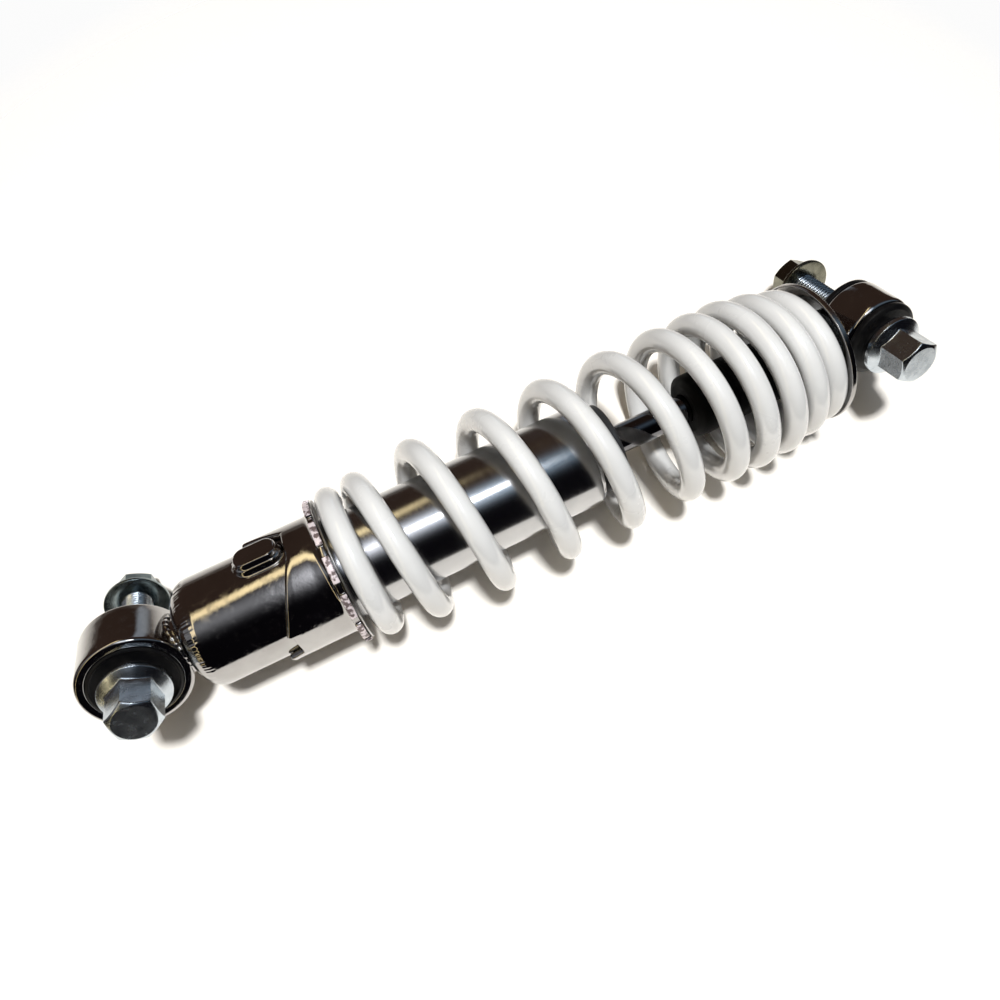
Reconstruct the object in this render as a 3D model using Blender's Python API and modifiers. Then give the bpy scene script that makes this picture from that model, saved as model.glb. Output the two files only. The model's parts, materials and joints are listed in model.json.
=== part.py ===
"""Coil-over rear shock absorber, extended, lying along +X.

The origin is the centre of the lower eye. +X runs along the shock towards the upper
eye, the lower bolt lies along Y with its head at -Y, and +Z is up. Lengths in the
constants are millimetres; the scene is in metres.
"""
import math

import bmesh
import bpy
from mathutils import Matrix

MM = 0.001
GAP = 0.3                      # clearance left between touching pieces

# Driving dimensions ---------------------------------------------------------------
EYE_TO_EYE = 270.0             # eye centre to eye centre, fully extended
UPPER_EYE_ROLL = math.radians(11.4)

ROD_R = 5.0
BORE_R = ROD_R + GAP           # every bore that the rod or a bolt passes through
ROD_THREAD_R = 4.0             # reduced end that carries the piston

TUBE_R = 17.0
TUBE_WALL = 1.5
TUBE_X = (30.0, 156.8)
COVER_R = 18.0
COVER_BORE_R = 17.3
COVER_X = (17.5, 66.0)
COVER_CORNER = 7.0             # radius of the cover's closed end
LUG_X = (40.0, 56.3)
LUG_HALF_WIDTH = 4.4
LUG_TOP = 20.1
LUG_ANGLE = 97.0               # degrees about +X from +Y; the second lug is opposite

COLLAR_BORE_R = COVER_R + GAP
COLLAR_R = 20.2
COLLAR_SEAT_X = LUG_X[1] + GAP # cam edge where the lugs rest at least preload
CAM_START = 112.0              # degrees about +X from +Y where the ramp begins
CAM_END = 184.0
CAM_RISE = 10.0
FLANGE_X = (67.0, 68.4)
FLANGE_R = 24.6
NOTCH_R = 23.3
NOTCH_COUNT = 12
NOTCH_ANGLE = 8.0              # degrees, centre of one notch

SPRING_WIRE_R = 4.0
SPRING_R = 25.7                # mean coil radius in the middle of the spring
SPRING_LOWER_TAPER = 3.5       # how much smaller the first turn is
SPRING_UPPER_TAPER = 5.5
SPRING_START_X = 73.9
SPRING_TURNS = (-0.4, 10.3)    # counted from the first turn's -Y side
SPRING_PITCH = ((-0.4, 0.0), (0.0, 5.0), (0.5, 17.0), (1.5, 22.5), (2.5, 24.2), (4.5, 23.3),
                (5.5, 17.5), (6.5, 11.2), (7.5, 10.9), (8.5, 10.1), (9.5, 8.8), (10.3, 8.4))

CAP_R = 14.6
CAP_X = 166.5
BUMP_STOP_R = 11.1
BUMP_STOP_X = (196.4, 239.0)
SEAT_X = (248.0, 249.4)        # upper spring seat plate
SEAT_R = 25.4
SEAT_LIP = 4.6                 # how far its rim comes back over the last coil

LOWER_EYE_R = 16.75
LOWER_EYE_BORE_R = 13.6
LOWER_EYE_HALF = 9.25
LOWER_SLEEVE_R = 7.0
LOWER_SLEEVE_HALF = 11.3
UPPER_EYE_R = 13.75
UPPER_EYE_BORE_R = 11.2
UPPER_EYE_HALF = 8.0
UPPER_SLEEVE_R = 6.6
UPPER_SLEEVE_HALF = 13.1
BUSH_LIP_R = 13.2              # rubber lip outside the upper eye

BOLT_R = 5.0
BOLT_LENGTH = 55.0             # under the head
BOLT_FLANGE_R = 10.6
BOLT_HEAD = 14.2
HEX_AF = 14.0                  # across flats of bolt heads and nuts
NUT_FLANGE_R = 10.5
NUT_HEIGHT = 9.8
NUT_FACE_Y = 31.7              # flange face of each nut, from the eye's centre plane
PISTON_NUT_AF = 13.0
LOCKNUT_AF = 17.0


# Scene and helpers ----------------------------------------------------------------
for old in list(bpy.data.objects):
    bpy.data.objects.remove(old, do_unlink=True)

PARTS = bpy.data.collections.new("rear_shock_absorber")
CUTTERS = bpy.data.collections.new("cutters")
bpy.context.scene.collection.children.link(PARTS)
bpy.context.scene.collection.children.link(CUTTERS)

ALONG_X = (0.0, math.pi / 2, 0.0)      # local +Z becomes +X
TO_HEAD = (math.pi / 2, 0.0, 0.0)      # local +Z becomes -Y, the bolt heads' side
TO_NUT = (-math.pi / 2, 0.0, 0.0)


def material(name, color, roughness, metallic):
    mat = bpy.data.materials.new(name)
    mat.use_nodes = True
    shader = mat.node_tree.nodes["Principled BSDF"]
    shader.inputs["Base Color"].default_value = (*color, 1.0)
    shader.inputs["Roughness"].default_value = roughness
    shader.inputs["Metallic"].default_value = metallic
    mat.diffuse_color = (*color, 1.0)
    return mat


DARK_CHROME = material("dark_chrome", (0.34, 0.32, 0.30), 0.08, 1.0)
CHROME = material("chrome", (0.62, 0.62, 0.63), 0.08, 1.0)
STEEL = material("bare_steel", (0.52, 0.52, 0.53), 0.35, 1.0)
ZINC = material("zinc_plate", (0.58, 0.63, 0.68), 0.28, 1.0)
WHITE = material("white_powder_coat", (0.88, 0.88, 0.86), 0.25, 0.0)
RUBBER = material("black_rubber", (0.015, 0.015, 0.016), 0.6, 0.0)
BLACK = material("black_coat", (0.02, 0.02, 0.022), 0.4, 0.2)
BRONZE = material("sintered_bronze", (0.42, 0.28, 0.14), 0.45, 1.0)
RING = material("ptfe_band", (0.10, 0.16, 0.13), 0.5, 0.0)


def pivot(name, location, rotation=(0.0, 0.0, 0.0)):
    empty = bpy.data.objects.new(name, None)
    empty.location = [c * MM for c in location]
    empty.rotation_euler = rotation
    PARTS.objects.link(empty)
    return empty


def add(name, mesh, mat, rotation=(0.0, 0.0, 0.0), location=(0.0, 0.0, 0.0), parent=None):
    obj = bpy.data.objects.new(name, mesh)
    obj.location = [c * MM for c in location]
    obj.rotation_euler = rotation
    obj.parent = parent
    if mat is None:
        CUTTERS.objects.link(obj)
        obj.hide_render = True
        obj.display_type = "WIRE"
    else:
        mesh.materials.append(mat)
        PARTS.objects.link(obj)
    return obj


def turned(name, outline, mat, rotation=ALONG_X, location=(0.0, 0.0, 0.0), parent=None, steps=36):
    """Turn (radius, height) points about local Z, given down the outer side first.

    An outline that starts and ends off the axis is a ring and is closed.
    """
    mesh = bpy.data.meshes.new(name)
    points = [(radius * MM, 0.0, height * MM) for radius, height in outline]
    edges = [(i, i + 1) for i in range(len(points) - 1)]
    if outline[0][0] > 0.0:
        edges.append((len(points) - 1, 0))
    mesh.from_pydata(points, edges, [])
    obj = add(name, mesh, mat, rotation, location, parent)
    screw = obj.modifiers.new("turn", "SCREW")
    screw.axis = "Z"
    screw.steps = steps
    screw.render_steps = steps
    screw.use_merge_vertices = True
    screw.merge_threshold = 0.00001
    return obj


def ring(name, outer, inner, low, high, mat, **kwargs):
    outline = [(outer, high), (outer, low), (inner, low), (inner, high)]
    return turned(name, outline, mat, **kwargs)


def rod(name, radius, low, high, mat, **kwargs):
    outline = [(0.0, high), (radius, high), (radius, low), (0.0, low)]
    return turned(name, outline, mat, **kwargs)


def hexagon(name, across_flats, low, high, mat, rotation=ALONG_X, location=(0, 0, 0), parent=None):
    """A hexagonal prism along local Z with two corners on local X."""
    bm = bmesh.new()
    corner = across_flats / math.sqrt(3.0) * MM
    bmesh.ops.create_cone(bm, cap_ends=True, segments=6, radius1=corner, radius2=corner,
                          depth=(high - low) * MM)
    bmesh.ops.rotate(bm, verts=bm.verts, cent=(0, 0, 0), matrix=Matrix.Rotation(math.pi / 6, 3, "Z"))
    bmesh.ops.translate(bm, verts=bm.verts, vec=(0, 0, (low + high) / 2 * MM))
    mesh = bpy.data.meshes.new(name)
    bm.to_mesh(mesh)
    bm.free()
    return add(name, mesh, mat, rotation, location, parent)


def boolean(obj, other, operation):
    mod = obj.modifiers.new(other.name, "BOOLEAN")
    mod.operation = operation
    mod.solver = "EXACT"
    mod.object = other
    return obj


def flange_bolt(name, seat, parent):
    """A flanged hex bolt whose head bears at distance seat on the -Y side."""
    outline = [(0.0, 3.4), (7.6, 3.4), (BOLT_FLANGE_R, 1.9), (BOLT_FLANGE_R, 0.0), (BOLT_R, 0.0),
               (BOLT_R, -BOLT_LENGTH + 1.0), (BOLT_R - 1.0, -BOLT_LENGTH), (0.0, -BOLT_LENGTH)]
    place = dict(rotation=TO_HEAD, location=(0, -seat, 0), parent=parent)
    bolt = turned(name, outline, ZINC, steps=24, **place)
    head = hexagon(name + "_head", HEX_AF, 1.0, BOLT_HEAD, None, **place)
    return boolean(bolt, head, "UNION")


def flange_nut(name, parent):
    outline = [(0.0, 2.8), (7.6, 2.8), (NUT_FLANGE_R, 1.5), (NUT_FLANGE_R, 0.0), (0.0, 0.0)]
    place = dict(rotation=TO_NUT, location=(0, NUT_FACE_Y, 0), parent=parent)
    nut = turned(name, outline, ZINC, steps=24, **place)
    boolean(nut, hexagon(name + "_hex", HEX_AF, 0.8, NUT_HEIGHT, None, **place), "UNION")
    bore = rod(name + "_bore", BORE_R, -2.0, NUT_HEIGHT + 2.0, None, steps=24, **place)
    return boolean(nut, bore, "DIFFERENCE")


def smooth(t):
    t = min(max(t, 0.0), 1.0)
    return t * t * (3.0 - 2.0 * t)


# Pivots ---------------------------------------------------------------------------
lower_pivot = pivot("lower_pivot", (0, 0, 0))
upper_pivot = pivot("upper_pivot", (EYE_TO_EYE, 0, 0), (UPPER_EYE_ROLL, 0, 0))

# Lower eye, its bush and its bolt ---------------------------------------------------
neck_end = COVER_X[0] - GAP
stud_end = 32.5
lower_eye = rod("lower_eye", LOWER_EYE_R, -LOWER_EYE_HALF, LOWER_EYE_HALF, DARK_CHROME,
                rotation=TO_HEAD)
neck = turned("lower_eye_neck", [(0, stud_end), (ROD_R, stud_end), (ROD_R, neck_end),
                                 (8.6, neck_end), (9.1, 13.0), (0, 10.0)], None)
boolean(lower_eye, neck, "UNION")
bore = rod("lower_eye_bore", LOWER_EYE_BORE_R, -12.0, 12.0, None, rotation=TO_HEAD)
boolean(lower_eye, bore, "DIFFERENCE")

ring("lower_bush_rubber", LOWER_EYE_BORE_R - GAP, LOWER_SLEEVE_R + GAP, -9.6, 9.6, RUBBER,
     rotation=TO_HEAD)
ring("lower_bush_sleeve", LOWER_SLEEVE_R, BORE_R, -LOWER_SLEEVE_HALF, LOWER_SLEEVE_HALF, STEEL,
     rotation=TO_HEAD, parent=lower_pivot, steps=24)
flange_bolt("lower_bolt", LOWER_SLEEVE_HALF + GAP, lower_pivot)
flange_nut("lower_nut", lower_pivot)

# Cover: a drawn cup with a rounded closed end and two pressed lugs -------------------
wall = COVER_R - COVER_BORE_R
arc = [math.radians(a) for a in range(0, 91, 15)]
outer_arc = [(COVER_R - COVER_CORNER * (1 - math.cos(a)),
              COVER_X[0] + COVER_CORNER * (1 - math.sin(a))) for a in arc]
inner_arc = [(r - wall * math.cos(a), x + wall * math.sin(a)) for (r, x), a in zip(outer_arc, arc)]
outline = ([(COVER_R, COVER_X[1])] + outer_arc + [(BORE_R, COVER_X[0]), (BORE_R, COVER_X[0] + wall)]
           + inner_arc[::-1] + [(COVER_BORE_R, COVER_X[1])])
cover = turned("body_cover", outline, DARK_CHROME)
for turn, label in ((LUG_ANGLE, "top"), (LUG_ANGLE + 180.0, "bottom")):
    bm = bmesh.new()
    bmesh.ops.create_cube(bm, size=1.0)
    bmesh.ops.scale(bm, verts=bm.verts, vec=((LUG_X[1] - LUG_X[0]) * MM, 2 * LUG_HALF_WIDTH * MM,
                                             5.0 * MM))
    upright = [e for e in bm.edges if abs(e.verts[0].co.z - e.verts[1].co.z) > MM]
    bmesh.ops.bevel(bm, geom=upright, offset=4.0 * MM, segments=4, profile=0.5, affect="EDGES")
    mesh = bpy.data.meshes.new("lug_" + label)
    bm.to_mesh(mesh)
    bm.free()
    a = math.radians(turn)
    lug = add("lug_" + label, mesh, None, rotation=(a - math.pi / 2, 0.0, 0.0),
              location=(sum(LUG_X) / 2, (LUG_TOP - 2.5) * math.cos(a), (LUG_TOP - 2.5) * math.sin(a)))
    boolean(cover, lug, "UNION")
lug_bore = rod("cover_bore", COVER_BORE_R, COVER_X[0] + COVER_CORNER, COVER_X[1] + 5.0, None)
boolean(cover, lug_bore, "DIFFERENCE")

# Damper: outer tube, base plug and valve, inner cylinder, guide, seal and end cap ----
bore_r = TUBE_R - TUBE_WALL
tube_end = TUBE_X[1]
turned("damper_tube", [(CAP_R + GAP, tube_end), (15.6, tube_end), (TUBE_R, tube_end - 1.2),
                       (TUBE_R, TUBE_X[0]), (bore_r, TUBE_X[0]), (bore_r, tube_end - 1.8),
                       (CAP_R + GAP, tube_end - 1.8)], CHROME)
inside_r = bore_r - GAP
plug_x = COVER_X[0] + wall + GAP
turned("base_plug", [(0, 37.7), (inside_r, 37.7), (inside_r, TUBE_X[0] + GAP), (9.0, TUBE_X[0] + GAP),
                     (9.0, plug_x), (BORE_R, plug_x), (BORE_R, stud_end + GAP),
                     (0, stud_end + GAP)], STEEL)
ring("inner_cylinder", 12.4, 11.0, 39.8, 138.7, STEEL)
turned("base_valve", [(1.5, 42.5), (10.7, 42.5), (10.7, 39.5), (12.4, 39.5), (12.4, 38.0),
                      (1.5, 38.0)], BRONZE)
turned("rod_guide", [(9.3, 151.2), (inside_r, 151.2), (inside_r, 139.0), (10.7, 139.0),
                     (10.7, 136.0), (BORE_R, 136.0), (BORE_R, 146.0), (9.3, 146.0)], BRONZE)
ring("oil_seal", 9.0, BORE_R, 146.3, 150.9, RUBBER)
turned("end_cap", [(13.3, CAP_X), (CAP_R, CAP_X - 1.2), (CAP_R, 154.9), (inside_r, 154.9),
                   (inside_r, 151.5), (BORE_R, 151.5), (BORE_R, CAP_X)], BLACK)

# Preload: cam collar that bears on the lugs, and the seat ring that the spring stands on
cam_top = COLLAR_SEAT_X - CAM_RISE
CAM_POINTS = ((82.0, COLLAR_SEAT_X), (CAM_START, COLLAR_SEAT_X), (CAM_END, cam_top),
              (187.0, cam_top + 1.6), (212.0, cam_top + 1.6), (217.0, cam_top - 3.0),
              (238.0, cam_top - 3.0), (262.0, COLLAR_SEAT_X))


def cam_edge(angle):
    """Where the collar's cam edge lies at an angle in degrees; the pattern repeats twice."""
    turn = (angle - CAM_POINTS[0][0]) % 180.0 + CAM_POINTS[0][0]
    for (a0, x0), (a1, x1) in zip(CAM_POINTS, CAM_POINTS[1:]):
        if turn <= a1:
            return x0 + (x1 - x0) * (turn - a0) / (a1 - a0)
    return COLLAR_SEAT_X


def flange_rim(angle):
    """Rim radius of the collar's flange, with spanner notches cut into it."""
    step = 360.0 / NOTCH_COUNT
    return NOTCH_R if abs((angle - NOTCH_ANGLE + step / 2) % step - step / 2) < 4.5 else FLANGE_R


angles = {(angle + half) % 360.0 for angle, _ in CAM_POINTS for half in (0.0, 180.0)}
for k in range(NOTCH_COUNT):
    centre = NOTCH_ANGLE + k * 360.0 / NOTCH_COUNT
    angles |= {(centre + d) % 360.0 for d in (-5.0, -4.2, 0.0, 4.2, 5.0, 12.0, 18.0)}
angles = sorted(angles)
bm = bmesh.new()
sections = []
for angle in angles:
    edge, rim = cam_edge(angle), flange_rim(angle)
    outline = ((edge, COLLAR_BORE_R), (edge, COLLAR_R), (FLANGE_X[0] - 1.5, COLLAR_R),
               (FLANGE_X[0], COLLAR_R + 1.5), (FLANGE_X[0], rim), (FLANGE_X[1], rim),
               (FLANGE_X[1], COLLAR_BORE_R))
    a = math.radians(angle)
    sections.append([bm.verts.new((x * MM, r * math.cos(a) * MM, r * math.sin(a) * MM))
                     for x, r in outline])
for here, after in zip(sections, sections[1:] + sections[:1]):
    for i in range(len(here)):
        j = (i + 1) % len(here)
        bm.faces.new((here[i], here[j], after[j], after[i]))
bmesh.ops.recalc_face_normals(bm, faces=bm.faces)
mesh = bpy.data.meshes.new("preload_collar")
bm.to_mesh(mesh)
bm.free()
add("preload_collar", mesh, DARK_CHROME)

ring_x = FLANGE_X[1] + GAP
ring("spring_seat_ring", 24.0, TUBE_R + GAP, ring_x, ring_x + 0.6, STEEL)

# Spring: round wire with close, smaller coils at both ends ---------------------------


def pitch_at(turn):
    for (t0, p0), (t1, p1) in zip(SPRING_PITCH, SPRING_PITCH[1:]):
        if turn <= t1:
            return p0 + (p1 - p0) * (turn - t0) / (t1 - t0)
    return SPRING_PITCH[-1][1]


def coil_radius(turn):
    lower = SPRING_LOWER_TAPER * (1.0 - smooth(turn / 2.0))
    upper = SPRING_UPPER_TAPER * smooth((turn - 7.4) / 3.4)
    return SPRING_R - lower - upper


per_turn = 18
count = round((SPRING_TURNS[1] - SPRING_TURNS[0]) * per_turn)
centres = []
x = SPRING_START_X
for i in range(count + 1):
    turn = SPRING_TURNS[0] + i / per_turn
    a = math.pi + 2.0 * math.pi * turn
    r = coil_radius(turn)
    centres.append((x * MM, r * math.cos(a) * MM, r * math.sin(a) * MM, 1.0))
    x += pitch_at(turn + 0.5 / per_turn) / per_turn
curve = bpy.data.curves.new("coil_spring", "CURVE")
curve.dimensions = "3D"
curve.bevel_depth = SPRING_WIRE_R * MM
curve.bevel_resolution = 2
curve.use_fill_caps = True
spline = curve.splines.new("POLY")
spline.points.add(len(centres) - 1)
for point, co in zip(spline.points, centres):
    point.co = co
add("coil_spring", curve, WHITE)

# Rod, piston and what they carry -----------------------------------------------------
shoulder = 130.2
turned("piston_rod", [(0, 255.2), (4.2, 255.2), (ROD_R, 254.4), (ROD_R, shoulder),
                      (ROD_THREAD_R, shoulder), (ROD_THREAD_R, 112.0), (0, 112.0)], CHROME, steps=24)
thread_bore = ROD_THREAD_R + GAP
turned("piston", [(10.4, 129.9), (10.4, 127.0), (9.3, 127.0), (9.3, 123.0), (10.4, 123.0),
                  (10.4, 120.3), (thread_bore, 120.3), (thread_bore, 129.9)], BRONZE, steps=24)
ring("piston_ring", 10.7, 9.6, 123.3, 126.7, RING, steps=24)
ring("valve_shims", 8.0, thread_bore, 118.4, 120.0, STEEL, steps=24)
piston_nut = hexagon("piston_nut", PISTON_NUT_AF, 112.6, 118.1, ZINC)
boolean(piston_nut, rod("piston_nut_bore", thread_bore, 110, 120, None, steps=24), "DIFFERENCE")
ring("rebound_bumper", 8.5, BORE_R, 130.5, 135.7, RUBBER, steps=24)
low, high = BUMP_STOP_X
ring("bump_stop", BUMP_STOP_R, BORE_R, low, high, RUBBER, steps=24)
ring("bump_washer", 12.0, BORE_R, high + GAP, high + 1.8, ZINC, steps=24)
locknut = hexagon("rod_locknut", LOCKNUT_AF, high + 2.1, SEAT_X[0] - GAP, ZINC)
boolean(locknut, rod("rod_locknut_bore", BORE_R, 235, 250, None, steps=24), "DIFFERENCE")
turned("upper_spring_seat", [(SEAT_R - 1.0, SEAT_X[1]), (SEAT_R, SEAT_X[1] - 1.0),
                             (SEAT_R, SEAT_X[1] - SEAT_LIP), (SEAT_R - 0.8, SEAT_X[1] - SEAT_LIP),
                             (SEAT_R - 0.8, SEAT_X[0]), (BORE_R, SEAT_X[0]),
                             (BORE_R, SEAT_X[1])], DARK_CHROME)

# Upper eye, its bush and its bolt ----------------------------------------------------
boss_x = SEAT_X[1] + GAP - EYE_TO_EYE
upper_eye = rod("upper_eye", UPPER_EYE_R, -UPPER_EYE_HALF, UPPER_EYE_HALF, DARK_CHROME,
                rotation=TO_HEAD, parent=upper_pivot)
neck = turned("upper_eye_neck", [(0, -8.0), (7.4, -9.0), (7.4, -14.5), (8.2, -17.5), (10.5, boss_x),
                                 (0, boss_x)], None, parent=upper_pivot)
boolean(upper_eye, neck, "UNION")
socket = rod("rod_socket", BORE_R, boss_x - 2.0, 255.7 - EYE_TO_EYE, None, steps=24,
             parent=upper_pivot)
boolean(upper_eye, socket, "DIFFERENCE")
bore = rod("upper_eye_bore", UPPER_EYE_BORE_R, -10.0, 10.0, None, rotation=TO_HEAD,
           steps=32, parent=upper_pivot)
boolean(upper_eye, bore, "DIFFERENCE")

body_r = UPPER_EYE_BORE_R - GAP
lip = UPPER_EYE_HALF + GAP
bush_end = lip + 2.6
turned("upper_bush_rubber", [(BUSH_LIP_R - 1.2, bush_end), (BUSH_LIP_R, bush_end - 1.0),
                             (BUSH_LIP_R, lip), (body_r, lip), (body_r, -lip), (BUSH_LIP_R, -lip),
                             (BUSH_LIP_R, 1.0 - bush_end), (BUSH_LIP_R - 1.2, -bush_end),
                             (UPPER_SLEEVE_R + GAP, -bush_end), (UPPER_SLEEVE_R + GAP, bush_end)],
       RUBBER, rotation=TO_HEAD, parent=upper_pivot)
ring("upper_bush_sleeve", UPPER_SLEEVE_R, BORE_R, -UPPER_SLEEVE_HALF, UPPER_SLEEVE_HALF, STEEL,
     rotation=TO_HEAD, parent=upper_pivot, steps=24)
flange_bolt("upper_bolt", UPPER_SLEEVE_HALF + GAP, upper_pivot)
flange_nut("upper_nut", upper_pivot)
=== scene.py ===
"""Looks of a coil-over rear shock absorber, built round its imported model.

The part's frame: origin at the lower eye, +X along the shock to the upper eye, +Y along
the lower bolt from head to nut. Lengths are millimetres until a mesh is made.
"""
import json
import math

import bpy
import numpy as np
from mathutils import Matrix, Vector

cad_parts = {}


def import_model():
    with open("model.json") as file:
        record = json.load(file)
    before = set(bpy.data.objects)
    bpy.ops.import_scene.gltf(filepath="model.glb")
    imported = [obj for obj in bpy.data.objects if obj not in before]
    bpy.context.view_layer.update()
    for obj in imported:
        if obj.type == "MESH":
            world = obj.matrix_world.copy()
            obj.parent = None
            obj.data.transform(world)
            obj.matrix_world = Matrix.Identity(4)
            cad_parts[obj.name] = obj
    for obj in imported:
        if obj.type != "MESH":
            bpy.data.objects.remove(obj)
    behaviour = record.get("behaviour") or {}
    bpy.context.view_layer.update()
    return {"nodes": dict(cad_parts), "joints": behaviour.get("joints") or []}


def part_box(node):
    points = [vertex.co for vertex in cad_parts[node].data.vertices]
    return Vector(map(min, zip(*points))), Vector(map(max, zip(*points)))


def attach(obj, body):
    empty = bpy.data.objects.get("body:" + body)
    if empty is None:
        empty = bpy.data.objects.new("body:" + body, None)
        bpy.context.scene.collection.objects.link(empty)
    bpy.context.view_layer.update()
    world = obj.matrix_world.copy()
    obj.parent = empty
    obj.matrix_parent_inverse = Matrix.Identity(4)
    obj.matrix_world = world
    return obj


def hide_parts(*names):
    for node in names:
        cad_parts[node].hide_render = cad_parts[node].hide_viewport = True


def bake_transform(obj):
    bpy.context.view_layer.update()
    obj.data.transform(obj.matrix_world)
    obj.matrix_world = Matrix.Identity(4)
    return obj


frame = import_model()
MM = 0.001
TAU = 2.0 * math.pi


# Sizes read from the frame ---------------------------------------------------------
def span(node, axis=0):
    """Lowest and highest coordinate of a CAD node along one axis, in millimetres."""
    low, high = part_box(node)
    return low[axis] / MM, high[axis] / MM


def radius_of(node):
    return span(node, 2)[1]


JOINTS = {joint["name"]: joint for joint in frame["joints"]}
EYE_X = JOINTS["upper_pivot"]["pos_m"][0] / MM
ROLL = math.atan2(JOINTS["upper_pivot"]["axis"][2], JOINTS["upper_pivot"]["axis"][1])

COVER_X = span("body_cover")
COVER_R = -span("body_cover", 1)[0]
TUBE_X = span("damper_tube")
TUBE_R = radius_of("damper_tube")
CAP_X = span("end_cap")
STOP_X = span("bump_stop")
SEAT_X = span("upper_spring_seat")
RING_X = span("spring_seat_ring")
ROD_R = radius_of("piston_rod")
SLEEVE_HALF = span("lower_bush_sleeve", 1)[1]
LOWER_EYE_R = radius_of("lower_eye")
LOWER_EYE_HALF = span("lower_eye", 1)[1]
NUT_Y = span("lower_nut", 1)

# Own details, in millimetres and degrees -------------------------------------------
HEX_AF = 14.0
HEX_FACE_R = HEX_AF / 2 - 0.85  # flat end of a chamfered hexagon
BOLT_R = 5.0
BOLT_LENGTH = 55.0
BOLT_HEAD = 14.2
BOLT_CONE_TOP = 2.9
NUT_CONE_TOP = 2.2
CONE_R = 8.6                   # of the conical flange where it meets the hexagon
FLANGE_R = 10.6
THREAD_PITCH = 1.25
THREAD_DEPTH = 0.62
LOWER_BORE_R = 13.6
LOWER_BUSH_HALF = 9.6
LOWER_SLEEVE_R = 7.0
LOWER_SHANK = 30.0             # plain length of the lower bolt, before its thread
UPPER_EYE_R = 13.75
UPPER_EYE_HALF = 8.0
UPPER_BORE_R = 11.2
UPPER_BUSH_HALF = 10.9
UPPER_SLEEVE_R = 6.6
UPPER_SLEEVE_HALF = 13.1
UPPER_SHANK = 27.0
BUSH_LIP_R = 13.2
FIT = 0.05                     # clearance between a bush and what it fills
LUG_X = (40.0, 56.3)
LUG_HALF_WIDTH = 4.8
LUG_ANGLE = 97.0
LUG_HEIGHT = 3.4
COLLAR_BORE_R = 18.3
COLLAR_R = 20.2
COLLAR_FLANGE_R = 24.6
COLLAR_FLANGE_X = (66.3, 68.4)
CAM_HIGH_X = 56.6
CAM_LOW_X = 46.6
NOTCH_PITCH = 30.0             # degrees between the spanner notches in the collar's flange
NOTCH_DEPTH = 1.3
NOTCH_ANGLE = 8.0
NOTCH_HALF_WIDTH = 4.2
WASHER_R = 24.0
ROD_HOLE_R = 5.2               # in the washers, nut and dish that sit on the rod
CAP_R = 14.6
CAP_GROOVE_X = 154.8
ROD_SHOULDER_X = 130.2         # below it the rod is thinner and carries the piston
ROD_END_R = 4.0
DISH_R = 25.1
DISH_PLATE_X = SEAT_X[1] - 2.6

# Local +Z becomes the named direction.
ALONG_X = Matrix.Rotation(math.pi / 2, 4, "Y")
TO_HEAD = Matrix.Rotation(math.pi / 2, 4, "X")
TO_NUT = Matrix.Rotation(-math.pi / 2, 4, "X")
UPPER = Matrix.Translation((EYE_X * MM, 0, 0)) @ Matrix.Rotation(ROLL, 4, "X")


# Mesh helpers ----------------------------------------------------------------------
def smooth(t):
    t = np.clip(t, 0.0, 1.0)
    return t * t * (3.0 - 2.0 * t)


def soft_min(a, b, k):
    h = np.clip(0.5 + 0.5 * (b - a) / k, 0.0, 1.0)
    return b + (a - b) * h - k * h * (1.0 - h)


def soft_max(a, b, k):
    return -soft_min(-a, -b, k)


def rounded(corners, step=1e9, closed=False):
    """Points of an outline whose corners (radius, height, fillet) are rounded off.

    Straight stretches longer than step are divided.
    """
    count = len(corners)
    points = []
    for i, (r, h, fillet) in enumerate(corners):
        here = np.array((r, h), float)
        if fillet <= 0.0 or (not closed and i in (0, count - 1)):
            points.append(here)
            continue
        before = np.array(corners[i - 1][:2], float) - here
        after = np.array(corners[(i + 1) % count][:2], float) - here
        u, v = before / np.linalg.norm(before), after / np.linalg.norm(after)
        if np.linalg.norm(u + v) < 1e-3:
            points.append(here)
            continue
        half = math.acos(max(-1.0, min(1.0, float(u @ v)))) / 2.0
        reach = fillet / math.tan(half)
        centre = here + (u + v) / np.linalg.norm(u + v) * fillet / math.sin(half)
        start, end = here + u * reach - centre, here + v * reach - centre
        turn = math.atan2(start[0] * end[1] - start[1] * end[0], float(start @ end))
        pieces = max(3, int(abs(turn) / math.radians(14)))
        for k in range(pieces + 1):
            c, s = math.cos(turn * k / pieces), math.sin(turn * k / pieces)
            points.append(centre + (start[0] * c - start[1] * s, start[0] * s + start[1] * c))
    if closed:
        points.append(points[0])
    out = [points[0]]
    for a, b in zip(points, points[1:]):
        parts = max(1, math.ceil(np.linalg.norm(b - a) / step))
        out.extend(a + (b - a) * k / parts for k in range(1, parts + 1))
    return np.array(out[:-1] if closed else out)


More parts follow.
